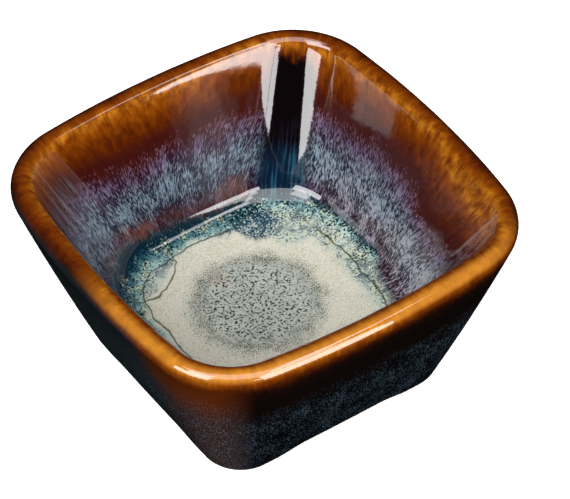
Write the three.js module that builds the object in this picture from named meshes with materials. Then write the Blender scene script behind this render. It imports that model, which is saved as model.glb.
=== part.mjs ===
// Stoneware sauce dish: a small rounded-square dish with a full round lip, a deep well and a hollow foot
// that stands on four corner pads. The fired clay body and each coat of glaze on it is a solid of its own.
// Millimetres, +Z up, origin at the middle of the plane that the foot stands on, sides along X and Y.
import * as THREE from "three";

// Outside, measured over the fired glaze
const RIM_WIDTH = 88.5; // across the middles of two opposite sides
const RIM_CORNER_RADIUS = 16.7; // in plan, round the outside of the lip
const RIM_BOW = 1.6; // the middle of a side stands out this far past its ends
const LIP_THICKNESS = 5.2; // the lip is a full round of this diameter
const WALL_BELLY = 0.3; // swell of the outer wall, largest half-way up

// Heights, stacked from the table up
const RECESS_DEPTH = 6.5; // hollow under the floor
const FLOOR_THICKNESS = 7.4; // from the recess to the top of the glaze pool
const WELL_DEPTH = 31.1; // from the glaze pool to the top of the lip

// The well
const WALL_THICKNESS = 6.3; // beside the fillet, square to the outer wall
const WELL_FILLET = 7; // between wall and floor
const WELL_CORNER_RADIUS = 15; // in plan, where that fillet meets the wall
const FLOOR_CORNER_RADIUS = 10; // in plan, where that fillet meets the floor
const FLOOR_BOW = 0.5;

// The foot
const FOOT_WIDTH = 58;
const FOOT_CORNER_RADIUS = 9;
const FOOT_BOW = 0.2;
const FOOT_THICKNESS = 5.5;
const FOOT_EDGE_RADIUS = 2.3; // outside
const FOOT_INNER_RADIUS = 1.2; // inside
const RECESS_FILLET = 2;
const RECESS_DRAFT = 1.6; // the recess is this much narrower on each side at its ceiling

// The foot's edge arches up between its corner pads
const ARCH_RISE = 1.45;
const ARCH_SPAN = 34; // from pad to pad
const ARCH_RAMP = 8; // length of the slope at each end
const ARCH_FADE_HEIGHT = 16; // above this the arch no longer shifts the outer wall's facets

// Thickness of the glaze coats
const POOL_GLAZE = 1.5; // settled on the floor
const POOL_EDGE_GLAZE = 0.9; // where the pool meets the wall's coat
const WALL_GLAZE = 0.6;
const LIP_GLAZE = 0.3; // drawn thin as it breaks over the lip
const OUTER_GLAZE = 0.5;
const GLAZE_LINE_THICKNESS = 0.35; // where the outer coat and the recess's coat stop at the bare foot
const RECESS_GLAZE = 0.4;
const LIP_BAND = 6; // how far the lip's coat comes down each wall
const POOL_CLIMB = 25; // degrees of the well's fillet that the pool covers
const GLAZE_LINE_ANGLE = 40; // degrees below level on the foot's outer edge where the outer coat stops

// Facets: steps along a side, round a corner in plan, and up a wall below the lip's coat
const SIDE_STEPS = 8;
const CORNER_STEPS = 8;
const WALL_STEPS = 3;
const LIP_STEPS = 8;

const LIP_RADIUS = LIP_THICKNESS / 2;
const POOL_HEIGHT = RECESS_DEPTH + FLOOR_THICKNESS;
const HEIGHT = POOL_HEIGHT + WELL_DEPTH;
const DOWN = -Math.PI / 2;
const UP = Math.PI / 2;
const FULL_TURN = 2 * Math.PI;
const { degToRad, lerp, smoothstep } = THREE.MathUtils;

// A rounding is a circle in the dish's section, swept round a rounded-square path. The path has the half
// width that a side has at its ends, its corner radius and the bow of its sides. A hollow rounding, whose
// surface faces its own centre, has a negative radius. cornerGrowth is the change in corner radius across
// the circle.
function rounding(halfWidth, height, radius, corner, bow, cornerGrowth = radius) {
  return { halfWidth, height, radius, corner, bow, cornerGrowth };
}

const lip = rounding(
  RIM_WIDTH / 2 - RIM_BOW - LIP_RADIUS,
  HEIGHT - LIP_RADIUS,
  LIP_RADIUS,
  RIM_CORNER_RADIUS - LIP_RADIUS,
  RIM_BOW,
);
const footHalfWidth = FOOT_WIDTH / 2 - FOOT_BOW;
const footEdge = rounding(
  footHalfWidth - FOOT_EDGE_RADIUS,
  FOOT_EDGE_RADIUS,
  FOOT_EDGE_RADIUS,
  FOOT_CORNER_RADIUS - FOOT_EDGE_RADIUS,
  FOOT_BOW,
);
const footInner = rounding(
  footHalfWidth - FOOT_THICKNESS + FOOT_INNER_RADIUS,
  FOOT_INNER_RADIUS,
  FOOT_INNER_RADIUS,
  FOOT_CORNER_RADIUS - FOOT_THICKNESS + FOOT_INNER_RADIUS,
  FOOT_BOW,
);
const recessFillet = rounding(
  footHalfWidth - FOOT_THICKNESS - RECESS_DRAFT - RECESS_FILLET,
  RECESS_DEPTH - RECESS_FILLET,
  -RECESS_FILLET,
  FOOT_CORNER_RADIUS - FOOT_THICKNESS - RECESS_FILLET,
  FOOT_BOW,
);

// Direction that a straight wall faces where it runs on from both roundings. turn picks one of the two walls.
function facingBetween(from, to, turn) {
  const across = to.halfWidth - from.halfWidth;
  const up = to.height - from.height;
  return Math.atan2(up, across) + turn * Math.acos((from.radius - to.radius) / Math.hypot(across, up));
}

const outerFacing = facingBetween(footEdge, lip, -1);
const wallSlope = -Math.tan(outerFacing); // millimetres out for each millimetre up

// The well's fillet stands a wall's thickness inside the outer wall's straight line.
function wellFilletFrom(height) {
  const insideFootEdge = FOOT_EDGE_RADIUS - WALL_THICKNESS - WELL_FILLET;
  const halfWidth =
    footEdge.halfWidth + insideFootEdge / Math.cos(outerFacing) + wallSlope * (height - footEdge.height);
  const swept = rounding(halfWidth, height, -WELL_FILLET, FLOOR_CORNER_RADIUS, FLOOR_BOW);
  const facing = facingBetween(lip, swept, -1) + FULL_TURN;
  const cornerGrowth = (WELL_CORNER_RADIUS - FLOOR_CORNER_RADIUS) / Math.cos(facing);
  return { wellFillet: { ...swept, cornerGrowth }, wellFacing: facing };
}

const { wellFillet, wellFacing } = wellFilletFrom(POOL_HEIGHT + WELL_FILLET);
const recessFacing = facingBetween(footInner, recessFillet, 1);

// A station is one place on the section: where the surface is, the way it faces, the glaze's thickness there
// and how far it follows the foot's arch, from 0 to 1. Swept round the dish it gives a ring.
function roundStation(round, facing, glaze, arch = 0) {
  const across = Math.cos(facing);
  const up = Math.sin(facing);
  return {
    halfWidth: round.halfWidth + round.radius * across,
    height: round.height + round.radius * up,
    corner: round.corner + round.cornerGrowth * across,
    bow: round.bow,
    across,
    up,
    glaze,
    arch,
  };
}

// Stations along a rounding, from facing one way to facing another, both ends included.
function roundStations(round, [from, to], steps, [glazeFrom, glazeTo], arch = 0) {
  return Array.from({ length: steps + 1 }, (_, step) => {
    const share = step / steps;
    return roundStation(round, lerp(from, to, share), lerp(glazeFrom, glazeTo, share), arch);
  });
}

// Stations up a straight wall, between the last one below it and the first one above it. The last but one
// is where the lip's coat begins. belly swells the wall out between its ends.
function wallStations(below, above, belly = 0) {
  const length = Math.hypot(above.halfWidth - below.halfWidth, above.height - below.height);
  const coatShare = 1 - LIP_BAND / length;
  const shares = Array.from({ length: WALL_STEPS }, (_, step) => (coatShare * (step + 1)) / WALL_STEPS);
  return [...shares, (1 + coatShare) / 2].map((share) => {
    const swell = belly * 4 * share * (1 - share);
    const station = {};
    for (const key of Object.keys(below)) station[key] = lerp(below[key], above[key], share);
    station.halfWidth += swell * station.across;
    station.height += swell * station.up;
    station.corner += swell * station.across;
    return station;
  });
}

// Each stretch of the section, from the middle of the well, over the lip, to the middle of the recess
const poolEdge = UP + degToRad(POOL_CLIMB);
const glazeLine = -degToRad(GLAZE_LINE_ANGLE);
const pool = roundStations(wellFillet, [UP, poolEdge], 2, [POOL_GLAZE, POOL_EDGE_GLAZE]);
const fillet = roundStations(wellFillet, [poolEdge, wellFacing], 4, [POOL_EDGE_GLAZE, WALL_GLAZE]);
const overLip = roundStations(lip, [wellFacing, outerFacing], LIP_STEPS, [LIP_GLAZE, LIP_GLAZE]);
const edgeGlaze = [OUTER_GLAZE, GLAZE_LINE_THICKNESS];
const outerEdge = roundStations(footEdge, [outerFacing, glazeLine], 1, edgeGlaze, 1);
const bareEdge = roundStations(footEdge, [glazeLine, DOWN], 3, [0, 0], 1).slice(1);
const barePad = roundStations(footInner, [DOWN, recessFacing - FULL_TURN], 3, [0, 0], 1);
const recessStart = { ...barePad.at(-1), glaze: GLAZE_LINE_THICKNESS };
const ceilingGlaze = [RECESS_GLAZE, RECESS_GLAZE];
const ceiling = roundStations(recessFillet, [recessFacing, DOWN + FULL_TURN], 3, ceilingGlaze);
const innerWall = wallStations(fillet.at(-1), overLip[0]);
const outerWall = wallStations(outerEdge[0], overLip.at(-1), WALL_BELLY).map((station) => ({
  ...station,
  arch: 1 - smoothstep(station.height, footEdge.height, ARCH_FADE_HEIGHT),
}));
outerWall.reverse();

// Rise of the foot's edge at a place along a quarter outline: none on a corner pad, all of it past the ramp.
function archLift(place) {
  if (place >= SIDE_STEPS) return 0;
  const sideEnd = footHalfWidth - FOOT_CORNER_RADIUS;
  const fromMiddle = Math.abs((2 * place) / SIDE_STEPS - 1) * sideEnd;
  return ARCH_RISE * smoothstep(ARCH_SPAN / 2 - fromMiddle, 0, ARCH_RAMP);
}

// A quarter of a station's outline: a bowed side, then the corner arc that carries on from it.
function quarterOutline(halfWidth, corner, bow) {
  const sideEnd = halfWidth - corner;
  const lean = Math.atan2(2 * bow, sideEnd);
  const radius = corner / (Math.cos(lean) - Math.sin(lean));
  const centre = new THREE.Vector2(halfWidth - radius * Math.cos(lean), sideEnd - radius * Math.sin(lean));
  const side = Array.from({ length: SIDE_STEPS }, (_, step) => {
    const share = (2 * step) / SIDE_STEPS - 1;
    return new THREE.Vector2(halfWidth + bow * (1 - share * share), share * sideEnd);
  });
  const arc = Array.from({ length: CORNER_STEPS }, (_, step) => {
    const angle = lerp(lean, Math.PI / 2 - lean, step / CORNER_STEPS);
    return new THREE.Vector2(radius * Math.cos(angle), radius * Math.sin(angle)).add(centre);
  });
  return [...side, ...arc];
}

// A station's ring of points, anticlockwise seen from above. depth goes in from the glaze's surface.
function ring(station, depth) {
  const halfWidth = station.halfWidth - depth * station.across;
  const height = station.height - depth * station.up;
  const quarter = quarterOutline(halfWidth, station.corner - depth * station.across, station.bow);
  const lifted = quarter.map(({ x, y }, place) => {
    const lift = station.arch * archLift(place);
    const outward = 1 + (lift * wallSlope) / halfWidth;
    return new THREE.Vector3(x * outward, y * outward, height + lift);
  });
  const axis = new THREE.Vector3(0, 0, 1);
  return [0, 1, 2, 3].flatMap((turn) =>
    lifted.map((point) => point.clone().applyAxisAngle(axis, (turn * Math.PI) / 2)),
  );
}

// The single point at the middle of the flat that a station ends on.
function middle(station, depth) {
  return [new THREE.Vector3(0, 0, station.height - depth * station.up)];
}

// Triangles between neighbouring rings, always split along the same diagonal, so that two solids that share
// rings share faces. A ring of one point closes the skin.
function skin(rings, facing) {
  const corners = [];
  const addTriangle = (a, b, c) => corners.push(...(facing > 0 ? [a, b, c] : [a, c, b]));
  for (let index = 1; index < rings.length; index++) {
    const ringA = rings[index - 1];
    const ringB = rings[index];
    const count = Math.max(ringA.length, ringB.length);
    for (let place = 0; place < count; place++) {
      const next = (place + 1) % count;
      if (ringB.length > 1) addTriangle(ringA[place % ringA.length], ringB[place], ringB[next]);
      if (ringA.length > 1) addTriangle(ringA[place], ringB[next % ringB.length], ringA[next]);
    }
  }
  return corners;
}

function namedMesh(name, corners, color, roughness) {
  const geometry = new THREE.BufferGeometry().setFromPoints(corners);
  geometry.computeVertexNormals();
  const mesh = new THREE.Mesh(geometry, new THREE.MeshStandardMaterial({ color, roughness, metalness: 0 }));
  mesh.name = name;
  return mesh;
}

// The fired clay, under all the glaze: the whole section at the clay's own surface.
function stonewareBody() {
  const well = [...pool, ...fillet.slice(1), ...innerWall];
  const foot = [...outerEdge, ...bareEdge, ...barePad, recessStart, ...ceiling];
  const stations = [...well, ...overLip, ...outerWall, ...foot];
  const rings = stations.map((station) => ring(station, station.glaze));
  const first = middle(pool[0], POOL_GLAZE);
  const last = middle(ceiling.at(-1), RECESS_GLAZE);
  return namedMesh("stoneware_body", skin([first, ...rings, last], 1), "#9a8468", 0.85);
}

// A coat of glaze over some stations: its surface, its back on the clay, and a closed edge where it stops.
// startsInMiddle or endsInMiddle says that the coat runs on to the middle of a flat instead of stopping.
function glazeCoat(name, stations, color, { startsInMiddle = false, endsInMiddle = false } = {}) {
  const first = stations[0];
  const last = stations.at(-1);
  const surface = stations.map((station) => ring(station, 0));
  const back = stations.map((station) => ring(station, station.glaze));
  const edges = [];
  if (!startsInMiddle) edges.push(...skin([back[0], surface[0]], 1));
  if (!endsInMiddle) edges.push(...skin([back.at(-1), surface.at(-1)], -1));
  if (startsInMiddle) {
    surface.unshift(middle(first, 0));
    back.unshift(middle(first, first.glaze));
  }
  if (endsInMiddle) {
    surface.push(middle(last, 0));
    back.push(middle(last, last.glaze));
  }
  return namedMesh(name, [...skin(surface, 1), ...skin(back, -1), ...edges], color, 0.08);
}

// The coats meet edge to edge, each starting from the station where the last one stopped.
const [innerCoatEnd, innerLip] = innerWall.slice(-2);
const [outerLip, outerCoatStart] = outerWall.slice(0, 2);
const wellWall = innerWall.slice(0, -1);
const outerRun = outerWall.slice(1);

const dish = new THREE.Group();
dish.add(stonewareBody());
dish.add(glazeCoat("floor_glaze_pool", pool, "#bdbbae", { startsInMiddle: true }));
dish.add(glazeCoat("inner_wall_glaze", [...fillet, ...wellWall], "#4b4250"));
dish.add(glazeCoat("lip_glaze", [innerCoatEnd, innerLip, ...overLip, outerLip, outerCoatStart], "#a3621b"));
dish.add(glazeCoat("outer_wall_glaze", [...outerRun, ...outerEdge], "#2a3338"));
dish.add(glazeCoat("underside_glaze", [recessStart, ...ceiling], "#3a3029", { endsInMiddle: true }));

export default dish;
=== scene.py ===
# Glazed stoneware sauce dish. The fired clay is the frame's own body; the glaze on it is modelled here as one
# continuous coat, the way it melts in the kiln, and the hollow foot has a coat of its own.
# Metres, +Z up, in the frame's own axes: the far corner in the photographed view is the one at +X +Y.
import math
from collections import namedtuple
from functools import partial

import bmesh
import bpy
from mathutils import Matrix, Vector, noise


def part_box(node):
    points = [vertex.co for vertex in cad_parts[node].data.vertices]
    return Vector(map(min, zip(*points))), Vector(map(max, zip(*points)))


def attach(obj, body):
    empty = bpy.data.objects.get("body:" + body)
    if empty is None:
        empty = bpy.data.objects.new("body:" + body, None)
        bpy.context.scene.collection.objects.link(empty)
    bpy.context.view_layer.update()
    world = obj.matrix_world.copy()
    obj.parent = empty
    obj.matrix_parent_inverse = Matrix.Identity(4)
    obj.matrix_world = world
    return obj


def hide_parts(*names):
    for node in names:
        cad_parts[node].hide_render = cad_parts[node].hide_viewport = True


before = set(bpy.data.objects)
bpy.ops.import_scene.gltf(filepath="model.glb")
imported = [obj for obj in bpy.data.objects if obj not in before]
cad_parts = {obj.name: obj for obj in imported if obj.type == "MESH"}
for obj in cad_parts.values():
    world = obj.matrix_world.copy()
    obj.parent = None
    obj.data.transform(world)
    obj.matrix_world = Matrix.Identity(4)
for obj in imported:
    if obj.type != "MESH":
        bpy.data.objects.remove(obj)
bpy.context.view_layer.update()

bl_info = {
    "name": "Sauce Dish",
    "version": (1, 0, 0),
    "blender": (4, 5, 0),
    "location": "3D Viewport > Sidebar > Sauce Dish",
    "description": "Builds a rounded-square stoneware sauce dish with a reactive glaze",
    "category": "Add Mesh",
}

MM = 0.001
LOW_CORNER, HIGH_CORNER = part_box("lip_glaze")
RIM_WIDTH = (HIGH_CORNER.x - LOW_CORNER.x) / MM
DISH_HEIGHT = HIGH_CORNER.z / MM
UP = math.pi / 2
DOWN = -math.pi / 2
FULL_TURN = 2 * math.pi


def length(name, description, millimetres, **limits):
    """A size that a user can change, in metres, with its default in millimetres."""
    return bpy.props.FloatProperty(
        name=name, description=description, default=millimetres * MM, unit="LENGTH", precision=5, **limits
    )


def linear(hex_colour):
    """An sRGB hex colour as linear red, green, blue and alpha."""
    values = [int(hex_colour[place:place + 2], 16) / 255 for place in (1, 3, 5)]
    return [v / 12.92 if v <= 0.04045 else ((v + 0.055) / 1.055) ** 2.4 for v in values] + [1]


def colour(name, description, hex_colour):
    """A colour that a user can change, with its default as an sRGB hex value."""
    return bpy.props.FloatVectorProperty(
        name=name, description=description, subtype="COLOR", size=4, min=0, max=1, default=linear(hex_colour)
    )


class DishSizes(bpy.types.PropertyGroup):
    """Sizes of the glazed dish."""

    rim_width: length("Rim width", "Across the middles of two opposite sides", RIM_WIDTH)
    height: length("Height", "From the foot to the top of the lip", DISH_HEIGHT)
    rim_corner: length("Rim corner radius", "Round the outside of the lip, seen from above", 16.7)
    rim_bow: length("Rim bow", "How far the middle of a side stands out past its ends", 1.6)
    lip_thickness: length("Lip thickness", "Diameter of the full round lip", 5.2)
    wall_belly: length("Wall belly", "Swell of the outer wall half-way up", 0.3)
    well_depth: length("Well depth", "From the floor's glaze to the top of the lip", 31.1)
    wall_thickness: length("Wall thickness", "Beside the well's fillet", 6.3)
    well_fillet: length("Well fillet", "Radius between wall and floor", 7)
    well_corner: length("Well corner radius", "Where the fillet meets the wall, seen from above", 15)
    floor_corner: length("Floor corner radius", "Where the fillet meets the floor, seen from above", 10)
    floor_bow: length("Floor bow", "How far the middle of a floor's side stands out", 0.5)
    foot_width: length("Foot width", "Across the foot", 58)
    foot_corner: length("Foot corner radius", "Of the foot, seen from above", 9)
    foot_bow: length("Foot bow", "How far the middle of a foot's side stands out", 0.2)
    foot_thickness: length("Foot thickness", "Of the foot's wall", 5.5)
    foot_edge: length("Foot edge radius", "Outside edge of the foot", 2.3)
    foot_inner: length("Foot inner radius", "Inside edge of the foot", 1.2)
    recess_depth: length("Recess depth", "Hollow under the floor", 6.5)
    recess_fillet: length("Recess fillet", "Between the recess's wall and ceiling", 2)
    recess_draft: length("Recess draft", "How much narrower the recess is at its ceiling", 1.6)
    arch_rise: length("Arch rise", "Of the foot's edge between its corner pads", 1.45)
    arch_span: length("Arch span", "From pad to pad", 34)
    arch_ramp: length("Arch ramp", "Length of the slope at each end of an arch", 8)
    arch_fade: length("Arch fade", "Height at which the arch no longer shows in the wall", 16)
    pool_glaze: length("Pool glaze", "Thickness of the glaze settled on the floor", 1.5)
    wall_glaze: length("Wall glaze", "Thickness of the glaze on the walls", 0.6)
    lip_glaze: length("Lip glaze", "Thickness of the glaze drawn thin over the lip", 0.3)
    recess_glaze: length("Recess glaze", "Thickness of the glaze inside the foot", 0.4)
    unevenness: length("Glaze unevenness", "How far the melted surface wanders", 0.035)


class GlazeColours(bpy.types.PropertyGroup):
    """Colours of the glaze and the clay."""

    gold: colour("Gold", "Glaze drawn thin over the lip", "#a06215")
    # Partly a painted highlight: the lit crest of the near rims
    crest_gold_and_highlight: colour("Bright gold", "Crest of the near rims", "#b07428")
    honey: colour("Honey", "Light amber below the lip", "#7b4007")
    amber: colour("Amber", "Amber glaze", "#663004")
    chestnut: colour("Chestnut", "Red-brown glaze", "#521f02")
    umber: colour("Umber", "Brown glaze over the upper wall", "#361002")
    soot: colour("Soot", "Nearly black glaze in the far corner", "#050203")
    tar: colour("Tar", "Red-black glaze high on the outside", "#0b0404")
    bark: colour("Bark", "Dark brown streaks on the outside", "#140704")
    walnut: colour("Walnut", "Brown glaze low on the near corner", "#3a231f")
    brick: colour("Brick", "Red-brown column down the near corner", "#582507")
    russet: colour("Russet", "Soft red-brown where the amber ends", "#451a0e")
    maroon: colour("Maroon", "Dark red-purple melt under the amber", "#2e0b08")
    plum: colour("Plum", "Purple-brown melt on the walls", "#26101b")
    indigo: colour("Indigo", "Blue-black melt between the streaks", "#181828")
    navy: colour("Navy", "Dark blue in the far corner", "#071426")
    petrol: colour("Petrol", "Dark blue-green where wall meets floor", "#061f2a")
    lagoon: colour("Lagoon", "Blue-green between the petrol and the teal", "#1b4153")
    mauve: colour("Mauve", "First faint streaks under the amber", "#583b44")
    heather: colour("Heather", "Purple-grey streaks", "#5b5068")
    slate: colour("Slate", "Grey-blue streaks", "#6b7a86")
    # A painted reflection: the milky veil on the lower right wall
    painted_veil_colour: colour("Haze", "Milky purple-grey on the lower right wall", "#958f98")
    teal: colour("Teal", "Blue-green glaze at the foot of the walls", "#4b767d")
    aqua: colour("Aqua", "Pale blue-green at the floor's edge", "#8faeab")
    celadon: colour("Celadon", "Pale grey-green glaze", "#b2bbb0")
    cream: colour("Cream", "Settled glaze on the floor", "#c8c9bf")
    butter: colour("Butter", "Warmer settled glaze", "#cfc9b7")
    sand: colour("Sand", "Fine tan speckle in the cream", "#a39e8b")
    ash: colour("Ash", "Bluer grey in the middle of the floor", "#989f9b")
    butter_green: colour("Butter green", "Yellowish patches among the blue-green flecks", "#b3b99c")
    pebble: colour("Pebble", "Warm grey in the middle of the floor", "#b3b6ab")
    blush: colour("Blush", "Pinkish patch on the floor", "#a3928a")
    moss: colour("Moss", "Dark green-black flecks on the floor", "#26312d")
    olive: colour("Olive", "Thin lines where flows of glaze met, and the finest flecks", "#343a2b")
    rust: colour("Rust", "Rust-brown patches low on the wall", "#6b3a1c")
    night: colour("Night", "Blue-black glaze on the outside", "#020408")
    storm: colour("Storm", "Grey-blue streaks on the outside", "#35434e")
    pine: colour("Pine", "Dark blue-green glaze on the outside", "#172228")
    lichen: colour("Lichen", "Grey-green streaks on the outside", "#6b8184")
    clay: colour("Clay", "Fired clay", "#9a8468")
    toasted_clay: colour("Toasted clay", "Darker fired clay", "#7a5f45")
    grog: colour("Grog", "Dark grit in the clay", "#4a3a2c")
    recess_brown: colour("Recess brown", "Glaze inside the foot", "#2c2019")


class StageSettings(bpy.types.PropertyGroup):
    """The floor, the lights and the camera."""

    floor_colour: colour("Floor", "Plain pale floor", "#f2f2f2")
    floor_glow: bpy.props.FloatProperty(name="Floor glow", description="Beside the dish", default=0.62)
    mirrored_floor: colour("Mirrored floor", "The shaded table that the glaze mirrors", "#0a0a0a")
    floor_width: length("Floor width", "Across the floor", 4000)
    key_radiance: bpy.props.FloatProperty(name="Side softboxes", description="Radiance", default=10)
    fill_radiance: bpy.props.FloatProperty(name="Fill softbox", description="Radiance", default=3.6)
    room_strength: bpy.props.FloatProperty(name="Room", description="Strength of the dim room", default=0.015)


# A rounding is a circle in the dish's section, swept round a rounded-square path. A station is one place on
# the section; swept round the dish it gives a ring of points.
Rounding = namedtuple("Rounding", "half_width height radius corner bow growth")
Station = namedtuple("Station", "half_width height corner bow across up glaze arch")


def round_station(rounding, facing, glaze, arch):
    """The station where a rounding faces a given way, in radians above level."""
    across = math.cos(facing)
    up = math.sin(facing)
    return Station(
        rounding.half_width + rounding.radius * across,
        rounding.height + rounding.radius * up,
        rounding.corner + rounding.growth * across,
        rounding.bow, across, up, glaze, arch,
    )


def mix(start, end, share):
    return start + (end - start) * share


def smoothstep(value, low, high):
    share = min(max((value - low) / (high - low), 0), 1)
    return share * share * (3 - 2 * share)


def round_stations(rounding, facings, steps, glazes, arch=0):
    """Stations along a rounding, from facing one way to facing another, both ends included."""
    shares = [step / steps for step in range(steps + 1)]
    return [round_station(rounding, mix(*facings, share), mix(*glazes, share), arch) for share in shares]


def wall_stations(below, above, steps, belly=0):
    """Stations up a straight wall, between its two ends, swelling out by the belly half-way."""
    stations = []
    for step in range(1, steps):
        share = step / steps
        place = Station(*(mix(low, high, share) for low, high in zip(below, above)))
        swell = belly * 4 * share * (1 - share)
        stations.append(
            place._replace(
                half_width=place.half_width + swell * place.across,
                height=place.height + swell * place.up,
                corner=place.corner + swell * place.across,
            )
        )
    return stations


def facing_between(start, end, turn):
    """The way a straight wall faces where it runs on from two roundings."""
    across = end.half_width - start.half_width
    up = end.height - start.height
    return math.atan2(up, across) + turn * math.acos((start.radius - end.radius) / math.hypot(across, up))


POOL_CLIMB = math.radians(25)
POOL_EDGE_GLAZE = 0.9 * MM
OUTER_GLAZE = 0.5 * MM
GLAZE_LINE_THICKNESS = 0.35 * MM
GLAZE_LINE_FACING = -math.radians(40)
FLOOR_RINGS = 16
FILLET_RINGS = 18
WALL_RINGS = 22
LIP_RINGS = 28
OUTER_RINGS = 32
FOOT_EDGE_RINGS = 4
RECESS_FILLET_RINGS = 8
RECESS_WALL_RINGS = 4


def dish_section(sizes):
    """The section in two runs of stations: the coat's, from the well over the lip to the glaze line, and the
    recess's, from its bare edge to its ceiling."""
    lip_radius = sizes.lip_thickness / 2
    lip = Rounding(
        sizes.rim_width / 2 - sizes.rim_bow - lip_radius,
        sizes.height - lip_radius,
        lip_radius,
        sizes.rim_corner - lip_radius,
        sizes.rim_bow,
        lip_radius,
    )
    foot_half = sizes.foot_width / 2 - sizes.foot_bow
    foot_edge = Rounding(
        foot_half - sizes.foot_edge,
        sizes.foot_edge,
        sizes.foot_edge,
        sizes.foot_corner - sizes.foot_edge,
        sizes.foot_bow,
        sizes.foot_edge,
    )
    foot_inner = Rounding(
        foot_half - sizes.foot_thickness + sizes.foot_inner,
        sizes.foot_inner,
        sizes.foot_inner,
        sizes.foot_corner - sizes.foot_thickness + sizes.foot_inner,
        sizes.foot_bow,
        sizes.foot_inner,
    )
    recess = Rounding(
        foot_half - sizes.foot_thickness - sizes.recess_draft - sizes.recess_fillet,
        sizes.recess_depth - sizes.recess_fillet,
        -sizes.recess_fillet,
        sizes.foot_corner - sizes.foot_thickness - sizes.recess_fillet,
        sizes.foot_bow,
        -sizes.recess_fillet,
    )
    outer_facing = facing_between(foot_edge, lip, -1)
    slope = -math.tan(outer_facing)
    fillet_height = sizes.height - sizes.well_depth + sizes.well_fillet
    inside_edge = (sizes.foot_edge - sizes.wall_thickness - sizes.well_fillet) / math.cos(outer_facing)
    well = Rounding(
        foot_edge.half_width + inside_edge + slope * (fillet_height - foot_edge.height),
        fillet_height,
        -sizes.well_fillet,
        sizes.floor_corner,
        sizes.floor_bow,
        0,
    )
    well_facing = facing_between(lip, well, -1) + FULL_TURN
    well = well._replace(growth=(sizes.well_corner - sizes.floor_corner) / math.cos(well_facing))
    recess_facing = facing_between(foot_inner, recess, 1)

    pool_edge = UP + POOL_CLIMB
    pool_rings = round(FILLET_RINGS * POOL_CLIMB / (well_facing - UP))
    pool = round_stations(well, (UP, pool_edge), pool_rings, (sizes.pool_glaze, POOL_EDGE_GLAZE))
    fillet_glaze = (POOL_EDGE_GLAZE, sizes.wall_glaze)
    fillet = round_stations(well, (pool_edge, well_facing), FILLET_RINGS - pool_rings, fillet_glaze)
    over_lip = round_stations(lip, (well_facing, outer_facing), LIP_RINGS, (sizes.lip_glaze, sizes.lip_glaze))
    edge_facings = (outer_facing, GLAZE_LINE_FACING)
    edge_glaze = (OUTER_GLAZE, GLAZE_LINE_THICKNESS)
    outer_edge = round_stations(foot_edge, edge_facings, FOOT_EDGE_RINGS, edge_glaze, arch=1)
    inner_wall = wall_stations(fillet[-1], over_lip[0], WALL_RINGS)
    outer_wall = [
        place._replace(arch=1 - smoothstep(place.height, sizes.foot_edge, sizes.arch_fade))
        for place in wall_stations(outer_edge[0], over_lip[-1], OUTER_RINGS, sizes.wall_belly)
    ]
    coat = pool + fillet[1:] + inner_wall + over_lip + outer_wall[::-1] + outer_edge

    recess_glaze = (sizes.recess_glaze, sizes.recess_glaze)
    pad_side = round_station(foot_inner, recess_facing, GLAZE_LINE_THICKNESS, 1)
    recess_facings = (recess_facing, DOWN + FULL_TURN)
    fillet = round_stations(recess, recess_facings, RECESS_FILLET_RINGS, recess_glaze)
    recess_run = [pad_side] + wall_stations(pad_side, fillet[0], RECESS_WALL_RINGS) + fillet
    return coat, recess_run[::-1]


def run_lengths(stations):
    """Distance of each station from the crest of the lip along the section, more than 0 inside the well."""
    total = [0]
    for near, far in zip(stations, stations[1:]):
        total.append(total[-1] + math.hypot(far.half_width - near.half_width, far.height - near.height))
    crest = max(range(len(stations)), key=lambda index: stations[index].height)
    return [total[crest] - value for value in total]


SIDE_STEPS = 32
CORNER_STEPS = 32


def quarter_outline(half_width, corner, bow):
    """A quarter of a ring: a bowed side, then the corner arc that carries on from it."""
    side_end = half_width - corner
    lean = math.atan2(2 * bow, side_end)
    radius = corner / (math.cos(lean) - math.sin(lean))
    centre = Vector((half_width - radius * math.cos(lean), side_end - radius * math.sin(lean)))
    points = []
    for step in range(SIDE_STEPS):
        share = 2 * step / SIDE_STEPS - 1
        points.append(Vector((half_width + bow * (1 - share * share), share * side_end)))
    for step in range(CORNER_STEPS):
        angle = mix(lean, UP - lean, step / CORNER_STEPS)
        points.append(centre + radius * Vector((math.cos(angle), math.sin(angle))))
    return points


def ring_points(sizes, station, scale=1):
    """The ring of points of a station, anticlockwise from above, or a smaller ring inside it."""
    side_end = sizes.foot_width / 2 - sizes.foot_bow - sizes.foot_corner
    slope = (sizes.rim_width - sizes.foot_width) / 2 / sizes.height
    quarter = []
    for step, point in enumerate(quarter_outline(station.half_width, station.corner, station.bow)):
        lift = 0
        if step < SIDE_STEPS and station.arch:
            from_middle = abs(2 * step / SIDE_STEPS - 1) * side_end
            from_pad = sizes.arch_span / 2 - from_middle
            lift = station.arch * sizes.arch_rise * smoothstep(from_pad, 0, sizes.arch_ramp)
        outward = 1 + lift * slope / station.half_width
        quarter.append(Vector((point.x * outward * scale, point.y * outward * scale, station.height + lift)))
    return [Matrix.Rotation(turn * UP, 3, "Z") @ point for turn in range(4) for point in quarter]


def skin_rings(sizes, stations):
    """A skin's rings: the first station's drawn smaller, from the middle out, then every station's own."""
    filling = [ring_points(sizes, stations[0], step / FLOOR_RINGS) for step in range(1, FLOOR_RINGS)]
    return filling + [ring_points(sizes, station) for station in stations]


def girth(points):
    """Distance along a ring from the middle of its first side to each point, and the ring's whole length."""
    along = [0]
    for near, far in zip(points, points[1:] + points[:1]):
        along.append(along[-1] + (far - near).length)
    middle = along[SIDE_STEPS // 2]
    return [value - middle for value in along[:-1]], along[-1]


def clear_selection():
    if bpy.context.mode != "OBJECT":
        bpy.ops.object.mode_set(mode="OBJECT")
    bpy.ops.object.select_all(action="DESELECT")


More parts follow.
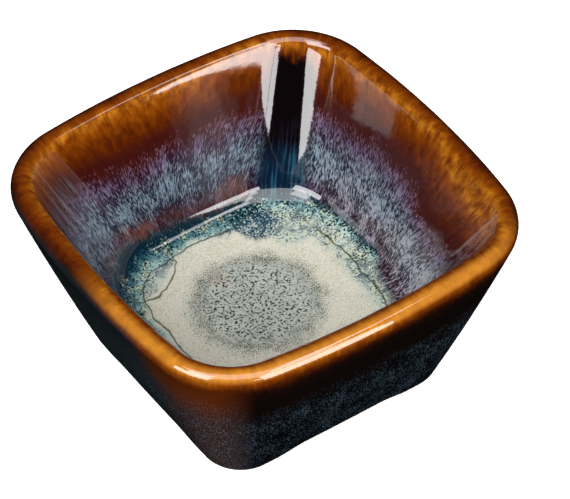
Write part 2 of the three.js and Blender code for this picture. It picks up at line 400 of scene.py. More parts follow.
def grow_skin(name, rings, facing_up):
    """A skin of rings: a fanned circle for the first, and each next one extruded from the last one's edge.
    The attribute row counts them from 1, and is 0 in the middle."""
    clear_selection()
    columns = len(rings[0])
    middle = rings[0][0].z
    bpy.ops.mesh.primitive_circle_add(
        vertices=columns, radius=rings[0][0].xy.length, fill_type="TRIFAN", location=(0, 0, middle)
    )
    piece = bpy.context.object
    piece.name = name
    piece.data.name = name
    bpy.ops.object.transform_apply(location=True)
    bpy.ops.object.mode_set(mode="EDIT")
    mesh = bmesh.from_edit_mesh(piece.data)
    mesh.verts.layers.int.new("column")
    mesh.verts.layers.int.new("row")
    column = mesh.verts.layers.int["column"]
    row = mesh.verts.layers.int["row"]
    # The circle's points and the ring's, each in order from the middle of the first side
    circle = [vert for vert in mesh.verts if vert.is_boundary]
    circle.sort(key=lambda vert: math.atan2(vert.co.y, vert.co.x) % FULL_TURN)
    for place, vert in enumerate(circle):
        vert[column] = (place + SIDE_STEPS // 2) % columns
        vert[row] = 1
        vert.co = rings[0][vert[column]]
    for index, ring in enumerate(rings[1:], 2):
        bpy.ops.mesh.select_all(action="DESELECT")
        for side in mesh.edges:
            if side.is_boundary:
                side.select_set(True)
        bpy.ops.mesh.extrude_region_move()
        mesh = bmesh.from_edit_mesh(piece.data)
        column = mesh.verts.layers.int["column"]
        row = mesh.verts.layers.int["row"]
        for vert in mesh.verts:
            if vert.select:
                vert.co = ring[vert[column]]
                vert[row] = index
    bpy.ops.mesh.select_all(action="SELECT")
    bpy.ops.mesh.normals_make_consistent(inside=False)
    mesh = bmesh.from_edit_mesh(piece.data)
    mesh.faces.ensure_lookup_table()
    if (mesh.faces[0].normal.z > 0) != facing_up:
        bpy.ops.mesh.flip_normals()
    bpy.ops.object.mode_set(mode="OBJECT")
    return piece


def per_point(piece, name):
    """The whole number that each of a mesh's points holds in an attribute."""
    return [entry.value for entry in piece.data.attributes[name].data]


def lay_flow(piece, sizes, coat):
    """Write the attribute flow, which the glaze's colours follow: a point on a circle as long as the wall's
    girth, and the distance run along the section. Gives the circle's radius."""
    runs = run_lengths(coat)
    floor_half = ring_points(sizes, coat[0])[SIDE_STEPS // 2].x
    runs = [runs[0] + floor_half * (1 - step / FLOOR_RINGS) for step in range(FLOOR_RINGS)] + runs
    along, whole = girth(ring_points(sizes, coat[FILLET_RINGS + WALL_RINGS // 2]))
    radius = whole / FULL_TURN
    rows = per_point(piece, "row")
    columns = per_point(piece, "column")
    flow = piece.data.attributes.new("flow", "FLOAT_VECTOR", "POINT")
    for entry, row, column in zip(flow.data, rows, columns):
        turn = along[column] / radius
        entry.vector = (radius * math.cos(turn), radius * math.sin(turn), runs[row])
    return radius


BROAD_SWELL = 11 * MM
SMALL_RIPPLE = 3.5 * MM
RIPPLE_SHARE = 0.25


def melt_surface(piece, depth):
    """Let the glaze's surface wander in and out, as it does once melted: broad swells and smaller ripples."""
    normals = [vert.normal.copy() for vert in piece.data.vertices]
    for vert, normal in zip(piece.data.vertices, normals):
        swell = noise.noise(vert.co / BROAD_SWELL) + RIPPLE_SHARE * noise.noise(vert.co / SMALL_RIPPLE)
        vert.co += normal * swell * depth


SMOOTH_BELOW = math.radians(50)


def thicken(piece, stations):
    """Give the skin its glaze's thickness, inwards, and shade it smooth. The vertex group holds the share of
    the thickest glaze that each row has."""
    glazes = [stations[0].glaze] * FLOOR_RINGS + [station.glaze for station in stations]
    thickest = max(glazes)
    group = piece.vertex_groups.new(name="glaze")
    for index, row in enumerate(per_point(piece, "row")):
        group.add([index], glazes[row] / thickest, "REPLACE")
    solid = piece.modifiers.new("glaze thickness", "SOLIDIFY")
    solid.thickness = thickest
    solid.offset = -1
    solid.vertex_group = group.name
    bpy.context.view_layer.objects.active = piece
    piece.select_set(True)
    bpy.ops.object.modifier_apply(modifier=solid.name)
    bpy.ops.object.shade_smooth_by_angle(angle=SMOOTH_BELOW)


def add(tree, kind, inputs=(), output=None, stops=None, **settings):
    """Add a shader node, set it up, connect or fill its inputs, and give one of its outputs. Inputs are a
    dict by name, or a list in the order of the sockets in use. Stops are a ramp's places and colours."""
    node = tree.nodes.new("ShaderNode" + kind)
    for name, value in settings.items():
        setattr(node, name, value)
    if stops:
        ramp = node.color_ramp
        while len(ramp.elements) > 1:
            ramp.elements.remove(ramp.elements[-1])
        for index, (place, shade) in enumerate(stops):
            element = ramp.elements[0] if index == 0 else ramp.elements.new(place)
            element.position = place
            element.color = shade
    sockets = [socket for socket in node.inputs if socket.enabled]
    named = {socket.name: socket for socket in reversed(sockets)}
    pairs = inputs.items() if isinstance(inputs, dict) else enumerate(inputs)
    for key, value in pairs:
        socket = named[key] if isinstance(key, str) else sockets[key]
        if isinstance(value, bpy.types.NodeSocket):
            tree.links.new(value, socket)
        elif value is not None:
            socket.default_value = value
    if output:
        return node.outputs[output]
    return next((socket for socket in node.outputs if socket.enabled), None)


def new_material(name):
    """An empty material and its node tree."""
    material = bpy.data.materials.new(name)
    material.use_nodes = True
    material.node_tree.nodes.clear()
    return material, material.node_tree


def surface(tree, shade, height, bump_depth, roughness, ior):
    """Finish a material: one principled surface with its colour, its bump and plain numbers for the rest."""
    normal = add(tree, "Bump", {"Strength": 1, "Distance": bump_depth, "Height": height})
    inputs = {"Base Color": shade, "Roughness": roughness, "IOR": ior, "Normal": normal}
    shader = add(tree, "BsdfPrincipled", inputs)
    add(tree, "OutputMaterial", {"Surface": shader})


NOISE_ROUGHNESS = 0.6


def cells(tree, vector, across, along, detail=2):
    """Noise with cells of a given size in millimetres, across and along the glaze's run."""
    scale = (1 / (across * MM), 1 / (across * MM), 1 / (along * MM))
    scaled = add(tree, "VectorMath", [vector, scale], operation="MULTIPLY")
    inputs = {"Vector": scaled, "Scale": 1, "Detail": detail, "Roughness": NOISE_ROUGHNESS}
    return add(tree, "TexNoise", inputs)


def grey(value):
    """A plain number as a colour, for a ramp that holds numbers."""
    return [value, value, value, 1]


def by_run(tree, run, stops):
    """Colours laid along the section, each at its distance in millimetres from the lip's crest."""
    low = stops[0][0]
    high = stops[-1][0]
    share = add(tree, "MapRange", [run, low * MM, high * MM, 0, 1])
    places = [((place - low) / (high - low), shade) for place, shade in stops]
    return add(tree, "ValToRGB", [share], stops=places)


def towards(tree, flow, girth_radius, compass, inner, outer):
    """1 near a direction round the dish, falling to 0 further off. All are in degrees, the direction's
    anticlockwise from +X."""
    angle = math.radians(compass)
    axis = (math.cos(angle) / girth_radius, math.sin(angle) / girth_radius, 0)
    along = add(tree, "VectorMath", [flow, axis], operation="DOT_PRODUCT", output="Value")
    limits = [math.cos(math.radians(outer)), math.cos(math.radians(inner))]
    return add(tree, "MapRange", [along, *limits, 0, 1], interpolation_type="SMOOTHSTEP")


# Places on the floor, in millimetres along +X and +Y from the dish's middle
LOBE = (-19, 25)
POOL = (10.5, 20.5)
DISC = (-1.7, 0.5)
BLUSH = (-4.6, 10.4)


def reactive_glaze(colours, floor_level, girth_radius):
    """Reactive stoneware glaze, dipped and fired: it breaks to gold where it is drawn thin over the lip,
    runs down the walls in fine pale streaks over a plum and indigo melt, and settles cream and flecked on
    the floor. The melt is glassy, so it mirrors the lamps sharply."""
    c = colours
    material, tree = new_material("reactive_stoneware_glaze")
    place = add(tree, "TexCoord", output="Object")
    flow = add(tree, "Attribute", attribute_name="flow", output="Vector")
    run = add(tree, "SeparateXYZ", [flow], output="Z")
    side = partial(towards, tree, flow, girth_radius)
    from_lobe, from_pool, from_disc, from_blush = (
        add(tree, "VectorMath", [place, (x * MM, y * MM, floor_level)], operation="DISTANCE", output="Value")
        for x, y in (LOBE, POOL, DISC, BLUSH)
    )

    # Where each colour starts along the section differs round the dish, and wanders in waves and fine drips
    near = side(248, 45, 76)
    left_corner = side(135, 8, 32)
    right_corner = side(318, 10, 38)
    waves = cells(tree, flow, 11, 14)
    drips = cells(tree, flow, 0.8, 4)
    wave_height = 6
    drip_height = 2.5
    inside = add(tree, "MapRange", [run, 2 * MM, 6 * MM, 0, 1], interpolation_type="SMOOTHSTEP")
    lead = add(tree, "Math", [left_corner, 1.5 * MM], operation="MULTIPLY")
    lead = add(tree, "Math", [right_corner, -4.5 * MM, lead], operation="MULTIPLY_ADD")
    lead = add(tree, "Math", [lead, inside], operation="MULTIPLY")
    for shift, amount in ((near, 4.5), (waves, wave_height), (drips, drip_height)):
        lead = add(tree, "Math", [shift, amount * MM, lead], operation="MULTIPLY_ADD")
    lead = add(tree, "Math", [lead, (wave_height + drip_height) / 2 * MM], operation="SUBTRACT")
    wandering = add(tree, "Math", [run, lead], operation="ADD")

    melt = by_run(tree, wandering, [
        (-46, c.night), (-26, c.night), (-13, c.tar), (-8, c.tar), (-3, c.bark), (-1, c.umber),
        (0.4, c.chestnut), (6, c.chestnut), (8.5, c.umber), (10, c.umber), (12, c.maroon),
        (15, c.maroon), (18, c.plum), (23, c.indigo), (27, c.indigo), (31, c.plum), (34, c.petrol),
    ])
    streak = by_run(tree, wandering, [
        (-46, c.storm), (-20, c.storm), (-13, c.bark), (-8, c.bark), (-3, c.umber), (-1, c.chestnut),
        (0.4, c.amber), (1.3, c.honey), (2.4, c.gold), (3.2, c.gold), (4.8, c.honey), (7, c.amber),
        (10, c.chestnut), (12.5, c.russet), (14, c.mauve), (18, c.heather), (22, c.slate), (28, c.slate),
        (31, c.heather), (34, c.teal),
    ])
    # Amber: soft mottling crossed by faint brush-like lines
    mottle = cells(tree, flow, 1.3, 2.6, detail=4)
    lines = cells(tree, flow, 0.22, 4)
    mottled = add(tree, "Math", [lines, 0.35, mottle], operation="MULTIPLY_ADD")
    mottled = add(tree, "MapRange", [mottled, 0.42, 0.98, 0, 1], interpolation_type="SMOOTHSTEP")
    # Walls: strokes about 0.3 mm wide, slanted on the far left wall, crowded here and thin there
    far_side = (0, 1 / girth_radius, 0)
    farness = add(tree, "VectorMath", [flow, far_side], operation="DOT_PRODUCT", output="Value")
    slant_per_run = -0.25
    slant = add(tree, "Math", [run, farness], operation="MULTIPLY")
    slant = add(tree, "Math", [slant, slant_per_run / girth_radius], operation="MULTIPLY")
    slanted = add(tree, "VectorRotate", {"Vector": flow, "Angle": slant}, rotation_type="Z_AXIS")
    strokes = cells(tree, slanted, 0.3, 1.05, detail=3)
    patch = cells(tree, flow, 4, 6)
    crowd = add(tree, "Math", [patch, 0.4, strokes], operation="MULTIPLY_ADD")
    thinning = by_run(tree, wandering, [
        (-46, grey(0.47)), (-14, grey(0.47)), (-8, grey(0.38)), (8, grey(0.2)), (12, grey(0.3)),
        (14.5, grey(0.42)), (17, grey(0.49)), (25, grey(0.52)), (29, grey(0.47)), (33, grey(0.44)),
    ])
    right_side = side(-8, 26, 50)
    crowd = add(tree, "Math", [crowd, thinning], operation="ADD")
    crowd = add(tree, "Math", [right_side, 0.02, crowd], operation="MULTIPLY_ADD")
    stroked = add(tree, "MapRange", [crowd, 1.13, 1.37, 0, 1], interpolation_type="SMOOTHSTEP")
    low = add(tree, "MapRange", [wandering, 9 * MM, 13 * MM, 0, 1])
    outer = add(tree, "MapRange", [wandering, -5 * MM, -1 * MM, 1, 0])
    low = add(tree, "Math", [low, outer], operation="MAXIMUM")
    light = add(tree, "Mix", [low, mottled, stroked])
    walls = add(tree, "Mix", [light, melt, streak], data_type="RGBA")

    # The lower right wall is paler, a milky purple-grey over its pale streaks: a painted reflection
    painted_veil = by_run(tree, run, [(18, grey(0)), (24, grey(0.25)), (28, grey(0.7)), (34, grey(0.8))])
    painted_veil = add(tree, "Math", [painted_veil, right_side], operation="MULTIPLY")
    painted_veil = add(tree, "Math", [painted_veil, light], operation="MULTIPLY")
    walls = add(tree, "Mix", [painted_veil, walls, c.painted_veil_colour], data_type="RGBA")

    # Fine pale threads fan out down the left corner
    threads = cells(tree, flow, 0.22, 16)
    threads = add(tree, "MapRange", [threads, 0.54, 0.66, 0, 1])
    fan = by_run(tree, run, [(8, grey(0)), (12, grey(0.55)), (26, grey(0.6)), (33, grey(0))])
    fan = add(tree, "Math", [fan, threads], operation="MULTIPLY")
    fan = add(tree, "Math", [fan, side(138, 4, 17)], operation="MULTIPLY")
    walls = add(tree, "Mix", [fan, walls, c.slate], data_type="RGBA")

    # Two rust-brown patches low on the far left wall, and a weaker band between them
    band = by_run(tree, wandering, [(27, grey(0)), (30, grey(1)), (32.5, grey(1)), (34.5, grey(0))])
    rusty = add(tree, "Math", [patch, 0.6], operation="MULTIPLY")
    rusty = add(tree, "Math", [rusty, side(94, 22, 36)], operation="MULTIPLY")
    for compass in (65, 120):
        rusty = add(tree, "Math", [side(compass, 3, 10), 0.45, rusty], operation="MULTIPLY_ADD")
    rusty = add(tree, "Math", [rusty, band], operation="MULTIPLY")
    rusty = add(tree, "Math", [rusty, mottled], operation="MULTIPLY", use_clamp=True)
    walls = add(tree, "Mix", [rusty, walls, c.rust], data_type="RGBA")

    # The far corner held the glaze thickest: nearly black, then navy and blue-green above the floor
    column_melt = by_run(tree, wandering, [
        (2, c.chestnut), (4, c.umber), (6.5, c.soot), (22, c.soot), (27, c.navy), (31, c.navy),
        (34, c.petrol),
    ])
    column_streak = by_run(tree, wandering, [
        (2, c.honey), (4.5, c.amber), (7, c.soot), (18, c.soot), (22, c.indigo), (26, c.lagoon),
        (31, c.lagoon), (33, c.teal),
    ])
    strands = cells(tree, flow, 0.6, 10, detail=3)
    sooty = add(tree, "MapRange", [wandering, 8 * MM, 12 * MM, 0, 1])
    strands = add(tree, "Mix", [sooty, mottle, strands])
    stranded = add(tree, "MapRange", [strands, 0.45, 0.7, 0, 1], interpolation_type="SMOOTHSTEP")
    column = add(tree, "Mix", [stranded, column_melt, column_streak], data_type="RGBA")
    in_column = add(tree, "Math", [side(48.5, 4.5, 10), inside], operation="MULTIPLY")
    walls = add(tree, "Mix", [in_column, walls, column], data_type="RGBA")

    # The crest of the near rims is the most golden: partly the glaze drawn thin over it, partly a painted
    # highlight, as only the near rims get it
    crest = by_run(tree, run, [(-3.4, grey(0)), (-2.4, grey(0.5)), (-0.8, grey(0.5)), (0.8, grey(0))])
    crest = add(tree, "Math", [crest, near], operation="MULTIPLY")
    walls = add(tree, "Mix", [crest, walls, c.crest_gold_and_highlight], data_type="RGBA")

    # Outside, a brown column runs down the near corner and the left side is blue-green, all finely flecked
    brown = by_run(tree, wandering, [
        (-46, c.walnut), (-18, c.walnut), (-9, c.brick), (-3, c.brick), (-1, c.chestnut), (1, c.amber),
    ])
    outside = add(tree, "MapRange", [run, -5 * MM, -2 * MM, 1, 0])
    near_column = add(tree, "Math", [side(212, 4, 24), outside], operation="MULTIPLY")
    specks = cells(tree, flow, 0.28, 0.8, detail=3)
    specks = add(tree, "MapRange", [specks, 0.5, 0.66, 0, 1])
    reached = by_run(tree, run, [(-46, grey(0.65)), (-26, grey(0.65)), (-16, grey(0.3)), (-9, grey(0))])
    specks = add(tree, "Math", [specks, reached], operation="MULTIPLY")
    brown = add(tree, "Mix", [specks, brown, c.slate], data_type="RGBA")
    walls = add(tree, "Mix", [near_column, walls, brown], data_type="RGBA")
    pine_side = add(tree, "Math", [side(172, 22, 36), outside], operation="MULTIPLY")
    pine = add(tree, "Mix", [specks, c.pine, c.lichen], data_type="RGBA")
    walls = add(tree, "Mix", [pine_side, walls, pine], data_type="RGBA")

    # Where the wall meets the floor the glaze is blue-green and full of dark flecks, which thin out inwards
    back = side(50, 6, 24)
    flecks = cells(tree, place, 0.44, 0.44, detail=3)
    in_lobe = add(tree, "MapRange", [from_lobe, 9.5 * MM, 11 * MM, 1, 0])
    wave_height = 8
    reach = run
    for shift, amount in ((back, -7), (in_lobe, -3.5), (right_side, -3), (waves, wave_height)):
        reach = add(tree, "Math", [shift, amount * MM, reach], operation="MULTIPLY_ADD")
    reach = add(tree, "Math", [reach, wave_height / 2 * MM], operation="SUBTRACT")
    density = by_run(tree, run, [
        (31, grey(0.75)), (33, grey(0.62)), (34.5, grey(0.5)), (36.5, grey(0.46)), (39, grey(0.44)),
    ])
    density = add(tree, "Math", [right_side, -0.02, density], operation="MULTIPLY_ADD")
    thinned = by_run(tree, reach, [(36, grey(1)), (37.5, grey(0.42)), (40, grey(0.3))])
    density = add(tree, "Math", [density, thinned], operation="MINIMUM")
    pool = add(tree, "MapRange", [from_pool, 3 * MM, 7 * MM, 0.13, 0])
    density = add(tree, "Math", [density, pool], operation="ADD")
    cloud = cells(tree, place, 4, 4, detail=3)
    flecked = add(tree, "Math", [flecks, density], operation="ADD")
    flecked = add(tree, "Math", [cloud, 0.35, flecked], operation="MULTIPLY_ADD")
    flecked = add(tree, "MapRange", [flecked, 1.09, 1.23, 0, 1])
    pale = add(tree, "Math", [right_side, 3.5 * MM, run], operation="MULTIPLY_ADD")
    pale = add(tree, "Math", [back, 1.5 * MM, pale], operation="MULTIPLY_ADD")
    ground = by_run(tree, pale, [
        (31, c.petrol), (34, c.lagoon), (35.5, c.teal), (37.5, c.aqua), (39.5, c.celadon), (44, c.celadon),
    ])
    blots = cells(tree, place, 2.4, 2.4, detail=3)
    blotted = add(tree, "Math", [cloud, 0.5, blots], operation="MULTIPLY_ADD")
    blotted = add(tree, "MapRange", [blotted, 0.76, 0.9, 0, 0.8])
    ground = add(tree, "Mix", [blotted, ground, c.butter_green], data_type="RGBA")
    dark = by_run(tree, run, [(32, c.petrol), (36, c.petrol), (39, c.lagoon)])
    blotches = add(tree, "MapRange", [blots, 0.38, 0.5, 0.7, 0])
    fading = by_run(tree, reach, [(35, grey(1)), (38, grey(0.2)), (40, grey(0))])
    blotches = add(tree, "Math", [blotches, fading], operation="MULTIPLY")
    flecked = add(tree, "Math", [flecked, blotches], operation="MAXIMUM")
    foot = add(tree, "Mix", [flecked, ground, dark], data_type="RGBA")
    at_foot = add(tree, "MapRange", [wandering, 31.5 * MM, 34.5 * MM, 0, 1], interpolation_type="SMOOTHSTEP")
    shade = add(tree, "Mix", [at_foot, walls, foot], data_type="RGBA")

    # The floor: cream with tan speckle, and a flecked grey-green disc near its middle. The real speckle is
    # about 0.2 mm, too fine to show, and is drawn at 0.3 mm
    speckle = cells(tree, place, 0.3, 0.3)
    speckle = add(tree, "MapRange", [speckle, 0.45, 0.75, 0, 1])
    butter = add(tree, "Mix", [cloud, c.cream, c.butter], data_type="RGBA")
    cream = add(tree, "Mix", [speckle, butter, c.sand], data_type="RGBA")
    ragged = cells(tree, place, 2.5, 2.5, detail=4)
    disc_edge = add(tree, "Math", [ragged, 5 * MM, from_disc], operation="MULTIPLY_ADD")
    in_disc = add(tree, "MapRange", [disc_edge, 14 * MM, 18.5 * MM, 1, 0])
    puff = add(tree, "MapRange", [ragged, 0.3, 0.75, 0, 1])
    disc_shade = add(tree, "Mix", [puff, c.pebble, c.ash], data_type="RGBA")
    blush = add(tree, "MapRange", [from_blush, 0.5 * MM, 3 * MM, 0.6, 0])
    disc_shade = add(tree, "Mix", [blush, disc_shade, c.blush], data_type="RGBA")
    floor = add(tree, "Mix", [in_disc, cream, disc_shade], data_type="RGBA")
    # Its flecks are bold in the middle and fine and dense in a ring near its edge
    turn = math.radians(35)
    turned = add(tree, "VectorRotate", {"Vector": place, "Angle": turn}, rotation_type="Z_AXIS")
    bold = cells(tree, turned, 0.56, 0.56)
    bold = add(tree, "MapRange", [bold, 0.52, 0.6, 0, 1])
    middle = add(tree, "MapRange", [disc_edge, 12.5 * MM, 16 * MM, 1, 0])
    bold = add(tree, "Math", [bold, middle], operation="MULTIPLY")
    ring = add(tree, "Math", [disc_edge, -15.8 * MM], operation="ADD")
    ring = add(tree, "Math", [ring], operation="ABSOLUTE")
    ring = add(tree, "MapRange", [ring, 0.3 * MM, 3.5 * MM, 0.38, 0.24])
    ring = add(tree, "Math", [cloud, 0.3, ring], operation="MULTIPLY_ADD")
    fine = cells(tree, place, 0.24, 0.24)
    fine = add(tree, "Math", [fine, ring], operation="ADD")
    fine = add(tree, "MapRange", [fine, 1.02, 1.1, 0, 1])
    floor = add(tree, "Mix", [bold, floor, c.moss], data_type="RGBA")
    floor = add(tree, "Mix", [fine, floor, c.olive], data_type="RGBA")
    cleared = by_run(tree, reach, [(37, grey(0)), (39.5, grey(1))])
    shade = add(tree, "Mix", [cleared, shade, floor], data_type="RGBA")

    # Thin dark lines where two flows of glaze met: round the floor, and round a lobe in the left corner
    wobble = cells(tree, place, 7, 7)
    settled = add(tree, "MapRange", [run, 35 * MM, 36.5 * MM, 0, 1])
    settled = add(tree, "Math", [settled, back], operation="SUBTRACT", use_clamp=True)
    for distance, where in ((run, 40.3), (from_lobe, 13)):
        line = add(tree, "Math", [wobble, 4 * MM, distance], operation="MULTIPLY_ADD")
        line = add(tree, "Math", [line, where * MM], operation="SUBTRACT")
        line = add(tree, "Math", [line], operation="ABSOLUTE")
        line = add(tree, "MapRange", [line, 0.08 * MM, 0.3 * MM, 0.85, 0])
        line = add(tree, "Math", [line, settled], operation="MULTIPLY")
        shade = add(tree, "Mix", [line, shade, c.olive], data_type="RGBA")

    peel = cells(tree, place, 1.6, 1.6)
    surface(tree, shade, peel, 0.006 * MM, roughness=0.045, ior=1.6)
    return material


def recess_glaze(colours):
    """The same glaze, thin and brown, as it is brushed inside the foot: glossy, with darker drops."""
    material, tree = new_material("brushed_brown_glaze")
    place = add(tree, "TexCoord", output="Object")
    drops = cells(tree, place, 2.5, 2.5, detail=3)
    spread = add(tree, "MapRange", [drops, 0.4, 0.65, 0, 1])
    shade = add(tree, "Mix", [spread, colours.recess_brown, colours.soot], data_type="RGBA")
    surface(tree, shade, drops, 0.05 * MM, roughness=0.12, ior=1.6)
    return material


def fired_clay(colours):
    """Unglazed fired stoneware clay: matt, warm buff, toasted in patches, with dark grit, sandy to touch."""
    material, tree = new_material("fired_stoneware_clay")
    place = add(tree, "TexCoord", output="Object")
    patches = cells(tree, place, 6, 6, detail=3)
    body = add(tree, "Mix", [patches, colours.clay, colours.toasted_clay], data_type="RGBA")
    grit = cells(tree, place, 0.4, 0.4, detail=1)
    gritty = add(tree, "MapRange", [grit, 0.66, 0.72, 0, 1])
    shade = add(tree, "Mix", [gritty, body, colours.grog], data_type="RGBA")
    surface(tree, shade, grit, 0.06 * MM, roughness=0.85, ior=1.5)
    return material


def dress(piece, material):
    """The piece's one material."""
    piece.data.materials.clear()
    piece.data.materials.append(material)


WELD_DISTANCE = 0.001 * MM
SMOOTHING_LEVELS = 2


class DISH_OT_clay(bpy.types.Operator):
    """Finish the fired clay body that the frame brings: weld its loose triangles, smooth and colour it"""

    bl_idname = "dish.clay"
    bl_label = "Fired clay"

    def execute(self, context):
        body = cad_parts["stoneware_body"]
        weld = body.modifiers.new("weld", "WELD")
        weld.merge_threshold = WELD_DISTANCE
        rounded = body.modifiers.new("rounded", "SUBSURF")
        rounded.levels = SMOOTHING_LEVELS
        rounded.render_levels = SMOOTHING_LEVELS
        clay = fired_clay(context.scene.glaze_colours)
        if not body.material_slots:
            body.data.materials.append(clay)
        for material_slot in body.material_slots:
            material_slot.material = clay
        return {"FINISHED"}


class DISH_OT_glaze_coat(bpy.types.Operator):
    """Model the continuous coat of glaze: floor, well, lip and outer wall"""

    bl_idname = "dish.glaze_coat"
    bl_label = "Glaze coat"

    def execute(self, context):
        sizes = context.scene.dish_sizes
        coat, _ = dish_section(sizes)
        piece = grow_skin("glaze_coat", skin_rings(sizes, coat), facing_up=True)
        girth_radius = lay_flow(piece, sizes, coat)
        melt_surface(piece, sizes.unevenness)
        thicken(piece, coat)
        floor_level = sizes.height - sizes.well_depth
        dress(piece, reactive_glaze(context.scene.glaze_colours, floor_level, girth_radius))
        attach(piece, "root")
        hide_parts("lip_glaze", "inner_wall_glaze", "floor_glaze_pool", "outer_wall_glaze")
        return {"FINISHED"}


class DISH_OT_recess_glaze(bpy.types.Operator):
    """Model the coat of glaze inside the hollow foot"""

    bl_idname = "dish.recess_glaze"
    bl_label = "Recess glaze"

    def execute(self, context):
        sizes = context.scene.dish_sizes
        _, recess = dish_section(sizes)
        piece = grow_skin("recess_coat", skin_rings(sizes, recess), facing_up=False)
        thicken(piece, recess)
        dress(piece, recess_glaze(context.scene.glaze_colours))
        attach(piece, "root")
        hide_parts("underside_glaze")
        return {"FINISHED"}


def heading(azimuth, elevation):
    """The direction towards a lamp or the camera: degrees from the front towards +X, and above level."""
    turn = math.radians(azimuth)
    rise = math.radians(elevation)
    return Vector((math.sin(turn) * math.cos(rise), -math.cos(turn) * math.cos(rise), math.sin(rise)))


DISH_MIDDLE = Vector((0, 0, 30 * MM))
LAMP_DISTANCE = 900 * MM

# Each side softbox: its direction, the degrees that it fills across and up as seen from the dish, and its
# share of the side softboxes' radiance
SIDE_SOFTBOXES = (
    ("softbox_right", 9.5, 18.5, 29, 33, 1),
    ("softbox_right_edge", -10, 14.5, 8, 5, 1),
    ("softbox_right_upper", 13, 40, 20, 10, 0.5),
    ("softbox_right_high", 20, 49.5, 10, 9, 0.6),
    ("softbox_right_top", 42, 57, 14, 7, 0.5),
    ("softbox_left", -79, 28, 37, 23.6, 1),
    ("softbox_left_upper", -75, 49, 20, 18, 0.6),
)
# Above the camera, where no surface in view mirrors it
FILL_SOFTBOX = ("softbox_fill", -34, 60, 70, 44)

# The light table is brighter away from the dish, so that low views show no grey band at its far edge
GLOW_RISES_FROM = 300 * MM
GLOW_RISES_TO = 1200 * MM
FULL_GLOW = 1.05

SENSOR_WIDTH = 36
FOCAL_LENGTH = 251.19
NEAR_CLIP = 10 * MM
CAMERA_DIRECTION = (-34.285, 44.846)
CAMERA_ROLL = -0.592
CAMERA_DISTANCE = 804.5
CAMERA_TARGET = (-3.99, -13.60, 42.36)


def softbox(name, azimuth, elevation, width, height, radiance):
    """A rectangular softbox, given by its direction and the degrees that it fills, as seen from the dish."""
    across = 2 * LAMP_DISTANCE * math.tan(math.radians(width) / 2)
    along = 2 * LAMP_DISTANCE * math.tan(math.radians(height) / 2)
    lamp = bpy.data.lights.new(name, "AREA")
    lamp.shape = "RECTANGLE"
    lamp.size = across
    lamp.size_y = along
    lamp.energy = radiance * math.pi * across * along
    piece = bpy.data.objects.new(name, lamp)
    bpy.context.scene.collection.objects.link(piece)
    towards_lamp = heading(azimuth, elevation)
    piece.location = DISH_MIDDLE + towards_lamp * LAMP_DISTANCE
    piece.rotation_euler = towards_lamp.to_track_quat("Z", "Y").to_euler()


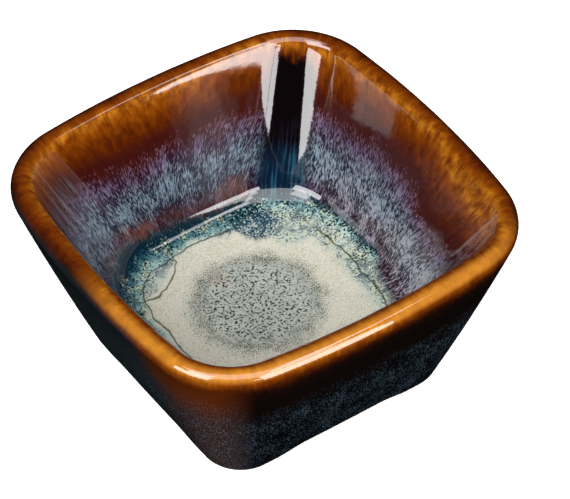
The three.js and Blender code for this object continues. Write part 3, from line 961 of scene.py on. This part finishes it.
class DISH_OT_stage(bpy.types.Operator):
    """Set up the pale floor, the softboxes, the dim room and the camera"""

    bl_idname = "dish.stage"
    bl_label = "Stage"

    def execute(self, context):
        settings = context.scene.stage_settings
        self.lay_floor(settings)
        for *box, share in SIDE_SOFTBOXES:
            softbox(*box, share * settings.key_radiance)
        softbox(*FILL_SOFTBOX, settings.fill_radiance)
        self.light_room(settings)
        self.place_camera()
        context.scene.view_settings.view_transform = "Standard"
        return {"FINISHED"}

    def lay_floor(self, settings):
        """A pale light table: it glows for the camera and takes the dish's shadow. The dish has no metal or
        glass, and its dark glaze mirrors a shaded table, so other rays see the table dark."""
        clear_selection()
        bpy.ops.mesh.primitive_plane_add(size=settings.floor_width, location=(0, 0, 0))
        floor = bpy.context.object
        floor.name = "floor"
        material, tree = new_material("light_table")
        seen = add(tree, "LightPath", output="Is Camera Ray")
        paper = add(tree, "BsdfDiffuse", {"Color": settings.floor_colour})
        place = add(tree, "TexCoord", output="Object")
        distance = add(tree, "VectorMath", [place], operation="LENGTH", output="Value")
        rise = [distance, GLOW_RISES_FROM, GLOW_RISES_TO, settings.floor_glow, FULL_GLOW]
        strength = add(tree, "MapRange", rise)
        glow = add(tree, "Emission", {"Color": settings.floor_colour, "Strength": strength})
        pale = add(tree, "AddShader", [paper, glow])
        shaded = add(tree, "BsdfDiffuse", {"Color": settings.mirrored_floor})
        shader = add(tree, "MixShader", [seen, shaded, pale])
        add(tree, "OutputMaterial", {"Surface": shader})
        dress(floor, material)

    def light_room(self, settings):
        """A dim room, with a white backdrop for the camera."""
        world = bpy.data.worlds.new("room")
        world.use_nodes = True
        tree = world.node_tree
        seen = add(tree, "LightPath", output="Is Camera Ray")
        strength = add(tree, "Mix", [seen, settings.room_strength, 1.0])
        tree.links.new(strength, tree.nodes["Background"].inputs["Strength"])
        tree.nodes["Background"].inputs["Color"].default_value = (1, 1, 1, 1)
        bpy.context.scene.world = world

    def place_camera(self):
        data = bpy.data.cameras.new("camera")
        data.sensor_width = SENSOR_WIDTH
        data.lens = FOCAL_LENGTH
        data.clip_start = NEAR_CLIP
        camera = bpy.data.objects.new("camera", data)
        bpy.context.scene.collection.objects.link(camera)
        back = heading(*CAMERA_DIRECTION)
        roll = Matrix.Rotation(math.radians(CAMERA_ROLL), 4, "Z")
        look = back.to_track_quat("Z", "Y").to_matrix().to_4x4()
        place = Vector(CAMERA_TARGET) * MM + back * CAMERA_DISTANCE * MM
        camera.matrix_world = Matrix.Translation(place) @ look @ roll
        bpy.context.scene.camera = camera


class DISH_PT_panel(bpy.types.Panel):
    """Lists the steps that build the dish"""

    bl_idname = "DISH_PT_panel"
    bl_label = "Sauce Dish"
    bl_space_type = "VIEW_3D"
    bl_region_type = "UI"
    bl_category = "Sauce Dish"

    def draw(self, context):
        for operator in OPERATORS:
            self.layout.operator(operator.bl_idname)


OPERATORS = (DISH_OT_clay, DISH_OT_glaze_coat, DISH_OT_recess_glaze, DISH_OT_stage)
CLASSES = (DishSizes, GlazeColours, StageSettings, *OPERATORS, DISH_PT_panel)


def register():
    for item in CLASSES:
        bpy.utils.register_class(item)
    bpy.types.Scene.dish_sizes = bpy.props.PointerProperty(type=DishSizes)
    bpy.types.Scene.glaze_colours = bpy.props.PointerProperty(type=GlazeColours)
    bpy.types.Scene.stage_settings = bpy.props.PointerProperty(type=StageSettings)


def unregister():
    del bpy.types.Scene.stage_settings
    del bpy.types.Scene.glaze_colours
    del bpy.types.Scene.dish_sizes
    for item in reversed(CLASSES):
        bpy.utils.unregister_class(item)


def main():
    register()
    bpy.ops.dish.clay()
    bpy.ops.dish.glaze_coat()
    bpy.ops.dish.recess_glaze()
    bpy.ops.dish.stage()


if __name__ == "__main__":
    main()
